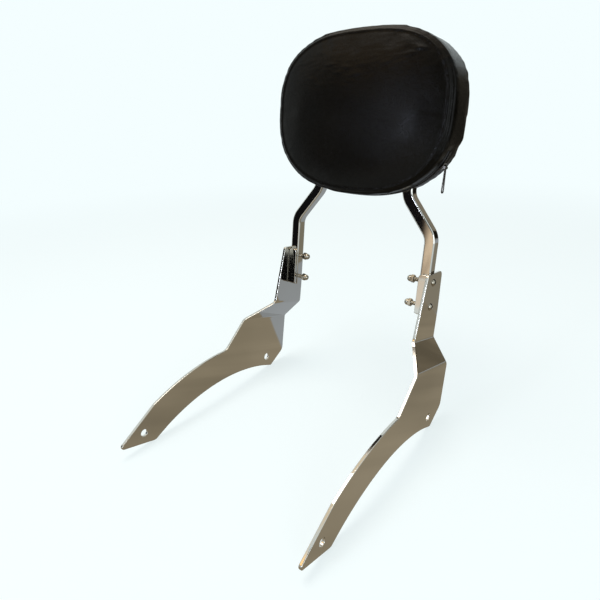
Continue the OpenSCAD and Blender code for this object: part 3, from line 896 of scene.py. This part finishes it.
def endCaps(grid):
    # closes both ends of a tube of points with fans to their middles
    return [patch(np.stack([grid[e], np.tile(grid[e].mean(0), (grid.shape[1], 1))])) for e in (0, -1)]


def scatter(shape, count, depth, grow, inset):
    # copies of one small shape along the zip: its axes point outward, to the rear and along the path
    q, out, _ = zipPath(count, grow, first + inset, last - inset)
    none = np.zeros(count)
    p = np.c_[q[:, 0], np.broadcast_to(depth, count), q[:, 1] + pad["up"]][:, None, None]
    axes = np.c_[out[:, 0], none, out[:, 1]], np.tile([0, 1.0, 0], (count, 1)), np.c_[-out[:, 1], none, out[:, 0]]
    for i, axis in enumerate(axes):
        p = p + axis[:, None, None] * shape[None, ..., i:i + 1]
    return p


def tapeHalf(sign, count=160):
    # a closed profile of (height above the outline, depth) carried along the outline
    y0, y1, h = 0.5, zipPart["tapeWide"] / 2 + 1.2, zipPart["tapeThick"]
    ys = np.r_[np.linspace(y0, y1, 7), np.linspace(y1, y0, 7)]
    hs = np.r_[np.full(7, h) - 0.15 * (np.linspace(-1, 1, 7) ** 4), np.full(7, -0.6)]
    q, out, _ = zipPath(count, 0.0, first, last)
    base = np.c_[q[:, 0], np.zeros(count), q[:, 1] + pad["up"]]
    outward = np.c_[out[:, 0], np.zeros(count), out[:, 1]]
    depth = (zipPart["y"] + sign * ys)[:, None]
    p = base[:, None] + outward[:, None] * hs[:, None] + np.array([0, 1.0, 0]) * depth
    return [patch(p)] + endCaps(p)


def addAlongUv(mesh, scale):
    # u runs along the outline and v across the tape, in threads
    local = inPad(mesh)
    u = np.arctan2(local[:, 2], local[:, 0]) * 110 * scale
    index = readAll(mesh.loops, "vertex_index", 1, np.int64)
    layer = mesh.uv_layers.new(name="along")
    layer.data.foreach_set("uv", np.c_[u, local[:, 1] * scale][index].ravel())


tapeMesh = buildMesh("zip_tapePiece", lean(tapeHalf(1) + tapeHalf(-1)))
addAlongUv(tapeMesh, 0.9)
addPiece("zip_tapePiece", tapeMesh, tapeCloth, ["zip_tape"])


def teethPatches(z):
    # two rows of small superellipsoids that mesh along the middle of the tape, a half pitch apart
    u, v = np.linspace(0, tau, 8, endpoint=False), np.linspace(-pi / 2, pi / 2, 6)

    def s(f, a):
        return np.sign(f(a)) * np.abs(f(a)) ** 0.45
    block = np.stack([np.outer(s(np.sin, v), np.ones(8)), np.outer(s(np.cos, v), s(np.cos, u)),
                      np.outer(s(np.cos, v), s(np.sin, u))], -1)
    count = int(zipLength / z["toothPitch"])
    sign = np.where(np.arange(count) % 2, 1.0, -1.0)
    grids = scatter(block * [z["teethHigh"] * 0.62, 1.25, 0.52], count, z["y"] + sign * 0.62,
                    z["tapeThick"] + z["teethHigh"] * 0.5, 0.05)
    return [patch(g) for g in grids]


addPiece("zip_teethPiece", lean(teethPatches(zipPart)), zipMetal, ["zip_teeth"])


def stitchPatches(z, offset):
    # short stitches beside the tape, each a flattened capsule with its ends sunk in the vinyl
    t = np.linspace(-1, 1, 7)
    ring = np.linspace(0, tau, 6, endpoint=False)
    wide = 0.28 * np.sqrt(np.clip(1 - (t * 0.98) ** 6, 0, 1))
    lift = 0.35 * (1 - t ** 2) - 0.2
    capsule = np.stack([lift[:, None] + np.outer(wide, np.cos(ring)), np.outer(wide, np.sin(ring)),
                        np.outer(t * z["stitchPitch"] * 0.38, np.ones(6))], -1)
    grids = scatter(capsule, int(zipLength / z["stitchPitch"]), z["y"] + offset, 0.75, 0.1)
    return [patch(g) for g in grids] + [cap for g in grids for cap in endCaps(g)]


stitches = stitchPatches(zipPart, zipPart["stitchAside"]) + stitchPatches(zipPart, -zipPart["stitchAside"])
addPiece("zip_stitches", lean(stitches), thread)

sliderStep, sliderUp = zipPart["sliderStep"], zipPart["tapeThick"] + zipPart["teethHigh"] + 0.15
seat = stepPoint(sliderStep, sliderUp)
chord = stepPoint(sliderStep + 1, sliderUp) - stepPoint(sliderStep - 1, sliderUp)
seatOut = unit(np.array([chord[1], -chord[0]]))
pinOut = zipPart["sliderThick"] + zipPart["knuckle"] / 2 + 0.5


def atSlider(patches, turn, out):
    # local x points out of the band, y to the rear and z along the zip
    at = seat + seatOut * out
    return lean(moved(patches, turn, (at[0], zipPart["y"], at[1] + pad["up"])))


def rod(radius, y0, y1, around=24, lip=0.2):
    # a pin along y with small chamfers
    theta = np.linspace(0, tau, around, endpoint=False)
    rows = [(y0, 0.0), (y0, radius - lip), (y0 + lip, radius), (y1 - lip, radius), (y1, radius - lip), (y1, 0.0)]
    return [patch(turned(pair, theta)[..., [1, 0, 2]]) for pair in crisp(rows)]


def sliderPatches(z):
    body = roundCorners([[-4.4, -5.5], [4.4, -5.5], [4.4, 1.5], [2.6, 5.5], [-2.6, 5.5], [-4.4, 1.5]], [1.6] * 6, 6)
    patches = moved(slabPatches(body, [], flatFace(z["sliderThick"]), flatFace(0), 0.6), facingX)
    foot, top = z["sliderThick"] - 0.4, pinOut + 1.6
    lug = roundCorners([[foot, -2.4], [top, -1.6], [top, 1.6], [foot, 2.4]], [0, 1.4, 1.4, 0], 6)
    low, high = z["knuckleWide"] / 2 + 0.3, z["knuckleWide"] / 2 + 1.5
    for a, b in ((low, high), (-high, -low)):
        patches += moved(slabPatches(lug, [], flatFace(-a), flatFace(-b), 0.3), facingFront)
    return patches + moved(rod(z["pin"] / 2, -high - 0.15, high + 0.15), np.eye(3), (pinOut, 0, 0))


def pullPatches(z):
    half, t, neck = z["pullWide"] / 2, z["pullThick"] / 2, z["knuckleWide"] / 2 - 0.3
    eye = -z["pullLong"] + half
    blade = np.concatenate([[[-neck, -1.0]], arcPoints((0, eye), half, 180, 360, 28), [[neck, -1.0]]])
    window = np.concatenate([arcPoints((0, -8), 0.8, 0, 180, 10), arcPoints((0, eye), half - 1.5, 180, 360, 20)])
    blade = roundCorners(blade, [0.6] + [0] * 29 + [0.6], 4)
    patches = moved(slabPatches(blade, [window], flatFace(t), flatFace(-t), 0.35), facingX)
    return patches + rod(z["knuckle"] / 2, -z["knuckleWide"] / 2, z["knuckleWide"] / 2, 28, 0.35)


# the slider follows the zip, and the pull keeps the upright's own directions
alongZip = np.array([[seatOut[0], 0, -seatOut[1]], [0, 1, 0], [seatOut[1], 0, seatOut[0]]])
addPiece("slider", atSlider(sliderPatches(zipPart), alongZip, 0.0), zipMetal, ["zip_slider"])
addPiece("pull", atSlider(pullPatches(zipPart), np.eye(3), pinOut), zipMetal, ["zip_pull"], pullBody)
print("zip made")

# ---- stage, light and camera

scene.view_settings.view_transform = "Standard"
paleTone = (0.905, 0.991, 1.0)
studio = dict(floorSize=40.0, shadowShare=0.3, skyLight=0.55, nearFade=0.9, farFade=2.2)


def shownRays(tree):
    # 1 for what the camera, mirrors and glass see
    rays = tree.nodes.new("ShaderNodeLightPath").outputs
    mirrors = mathNode(tree, "MAXIMUM", rays["Is Glossy Ray"], rays["Is Transmission Ray"])
    return mathNode(tree, "MAXIMUM", rays["Is Camera Ray"], mirrors)


def emptyTree(owner):
    # the node tree of a material or world, cleared
    owner.use_nodes = True
    owner.node_tree.nodes.clear()
    return owner.node_tree


def makeWorld():
    scene.world = bpy.data.worlds.new("studioAir")
    tree = emptyTree(scene.world)
    light = node(tree, "Background", Color=(1, 1, 1, 1), Strength=studio["skyLight"])
    seen = node(tree, "Background", Color=(*paleTone, 1), Strength=1.0)
    node(tree, "OutputWorld", i0=node(tree, "MixShader", i0=shownRays(tree), i1=light, i2=seen))


def emptyMaterial(name):
    material = bpy.data.materials.new(name)
    tree = emptyTree(material)
    return material, tree, tree.nodes.new("ShaderNodeTexCoord").outputs["Object"]


def flatSheet(name, wide, high, material):
    x, y = wide / 2, high / 2
    mesh = bpy.data.meshes.new(name)
    mesh.from_pydata([(-x, -y, 0), (x, -y, 0), (x, y, 0), (-x, y, 0)], [], [(0, 1, 2, 3)])
    mesh.materials.append(material)
    return newObject(name, mesh)


def makeFloor():
    # pale floor: mirrors and camera see its own tone, with a share of the shadows close to the object
    material, tree, place = emptyMaterial("paleFloor")
    length = node(tree, "VectorMath", {"operation": "LENGTH"}, i0=place).outputs["Value"]
    near = ranged(tree, length, studio["nearFade"], studio["farFade"], 1 - studio["shadowShare"], 1.0, smooth)
    matt = node(tree, "BsdfDiffuse", Color=(*paleTone, 1))
    glow = node(tree, "Emission", Color=(*paleTone, 1), Strength=1.0)
    blend = node(tree, "MixShader", i0=near, i1=matt, i2=glow)
    node(tree, "OutputMaterial", i0=node(tree, "MixShader", i0=shownRays(tree), i1=matt, i2=blend))
    floor = flatSheet("floor", studio["floorSize"], studio["floorSize"], material)


def addCard(name, place, size, facing, tone, soft, streaks=0.0):
    # a card out of the camera's sight that only mirrors show: it faces a bearing from -Y and a rise, in degrees,
    # its edges fade over the given share of its size, and streaks vary its tone
    material, tree, at = emptyMaterial(name)
    parts = node(tree, "SeparateXYZ", Vector=node(tree, "VectorMath", {"operation": "ABSOLUTE"}, i0=at)).outputs
    shares = [ranged(tree, parts[i], size[i] / 2 * (1 - soft), size[i] / 2, 1.0, 0.0, smooth) for i in (0, 1)]
    drawn = node(tree, "Mapping", Vector=at, Scale=(9.0, 1.6, 1.0))
    noise = node(tree, "TexNoise", Vector=drawn, Scale=1.0, Detail=3.0, Distortion=0.8)
    level = ranged(tree, noise, 0.35, 0.65, 1 - streaks, 1 + streaks)
    paint = node(tree, "Emission", Color=(*tone, 1), Strength=level)
    mix = node(tree, "MixShader", i0=mathNode(tree, "MULTIPLY", *shares), i1=node(tree, "BsdfTransparent"), i2=paint)
    node(tree, "OutputMaterial", i0=mix)
    card = flatSheet(name, *size, material)
    card.location = place
    card.rotation_euler = [radians(v) for v in (90 - facing[1], 0, facing[0])]
    card.visible_camera = card.visible_diffuse = card.visible_shadow = False


def addLamp(name, place, aim, size, power, tone):
    lamp = bpy.data.lights.new(name, "AREA")
    lamp.shape, lamp.size, lamp.size_y, lamp.energy, lamp.color = "RECTANGLE", size[0], size[1], power, tone
    holder = newObject(name, lamp)
    holder.location = place
    holder.rotation_mode = "QUATERNION"
    holder.rotation_quaternion = (Vector(aim) - Vector(place)).to_track_quat("-Z", "Y")


makeWorld()
makeFloor()
centre = (0.0, 0.05, 0.3)

# what the metal mirrors, as name, place, size, facing, tone, soft edge and streaks: boards and mats that lie on the
# floor, flags and a card behind the legs, the far wall, cards in front, and a ceiling
black = (0.008, 0.008, 0.009)
cards = (
    ("greyFloor", (0.4, 1.25, 0.0004), (2.2, 2.9), (0, 90), (0.42, 0.46, 0.50), 0.15),
    ("backBoard", (0.4375, 0.71, 0.0007), (0.405, 0.82), (0, 90), (0.31, 0.285, 0.225), 0.03),
    ("brownBoard", (0.346, -0.039, 0.0008), (1.1, 0.9), (39.5, 90), (0.34, 0.295, 0.215), 0.01, 0.16),
    ("frontMat", (0.85, -1.15, 0.0006), (0.6, 1.9), (37, 90), black, 0.05),
    ("creamMat", (-0.6, -1.45, 0.0005), (0.9, 1.3), (0, 90), (1.0, 0.9, 0.77), 0.3),
    ("darkMat", (-1.15, -1.25, 0.0006), (0.9, 0.9), (-42, 90), black, 0.2),
    ("rearFlag", (0.355, 0.425, 0.53), (0.34, 0.66), (-22, 0), (0.012, 0.010, 0.007), 0.12),
    ("legCard", (0.13, 0.50, 0.36), (0.18, 0.3), (-22, 0), (0.29, 0.26, 0.205), 0.2),
    ("highFlag", (0.25, -1.75, 1.45), (1.7, 1.7), (180, -12), (0.012, 0.011, 0.010), 0.1),
    ("dimWall", (1.1, 2.8, 0.5), (2.6, 1.5), (-22, 0), (0.2, 0.17, 0.12), 0.3, 0.2),
    ("warmCard", (-1.25, -1.95, 2.05), (2.2, 0.95), (148, -33), (1.9, 1.3, 0.62), 0.35),
    ("darkFlag", (-1.235, -1.549, 0.7), (1.28, 1.7), (140, 0), black, 0.08),
    ("tanCard", (-0.59, -2.17, 0.2), (1.1, 0.7), (163, 0), (0.62, 0.50, 0.37), 0.3, 0.75),
    ("creamCeiling", (-0.3, 0.3, 2.6), (4.0, 4.0), (0, -90), (1.0, 0.88, 0.68), 0.2))
for card in cards:
    addCard(*card)
addLamp("topSoftbox", (-0.5, -0.2, 2.2), centre, (1.4, 1.0), 26, (1.0, 0.93, 0.85))
addLamp("sideSoftbox", (1.6, -1.2, 0.7), centre, (0.8, 0.9), 10, (0.85, 0.92, 1.0))
addLamp("windowGlint", (-0.45, -1.72, 0.74), (0.07, 0.12, 0.39), (0.16, 0.3), 5, (0.72, 0.81, 1.0))

# the camera as it was solved from the plates: its place from their rear holes in mm, and its three directions
cameraPlace = dict(at=(361.01, -536.18, 418.79), lens=29.2, sensor=36.0, clip=(0.01, 100),
                   right=(0.78963438, 0.6125937, -0.03473467), down=(0.21642481, -0.33104949, -0.91845878),
                   forward=(-0.57414096, 0.71772919, -0.39398854))


def addCamera(c):
    camera = newObject("camera", bpy.data.cameras.new("camera"))
    camera.data.sensor_width, camera.data.lens = c["sensor"], c["lens"]
    camera.data.clip_start, camera.data.clip_end = c["clip"]
    turn = Matrix([c["right"], [-v for v in c["down"]], [-v for v in c["forward"]]]).transposed().to_4x4()
    x, y, z = c["at"]
    camera.matrix_world = Matrix.Translation((x * mm, (y + holeY) * mm, (z + holeZ) * mm)) @ turn
    scene.camera = camera


addCamera(cameraPlace)
print("stage, lamps and camera set")
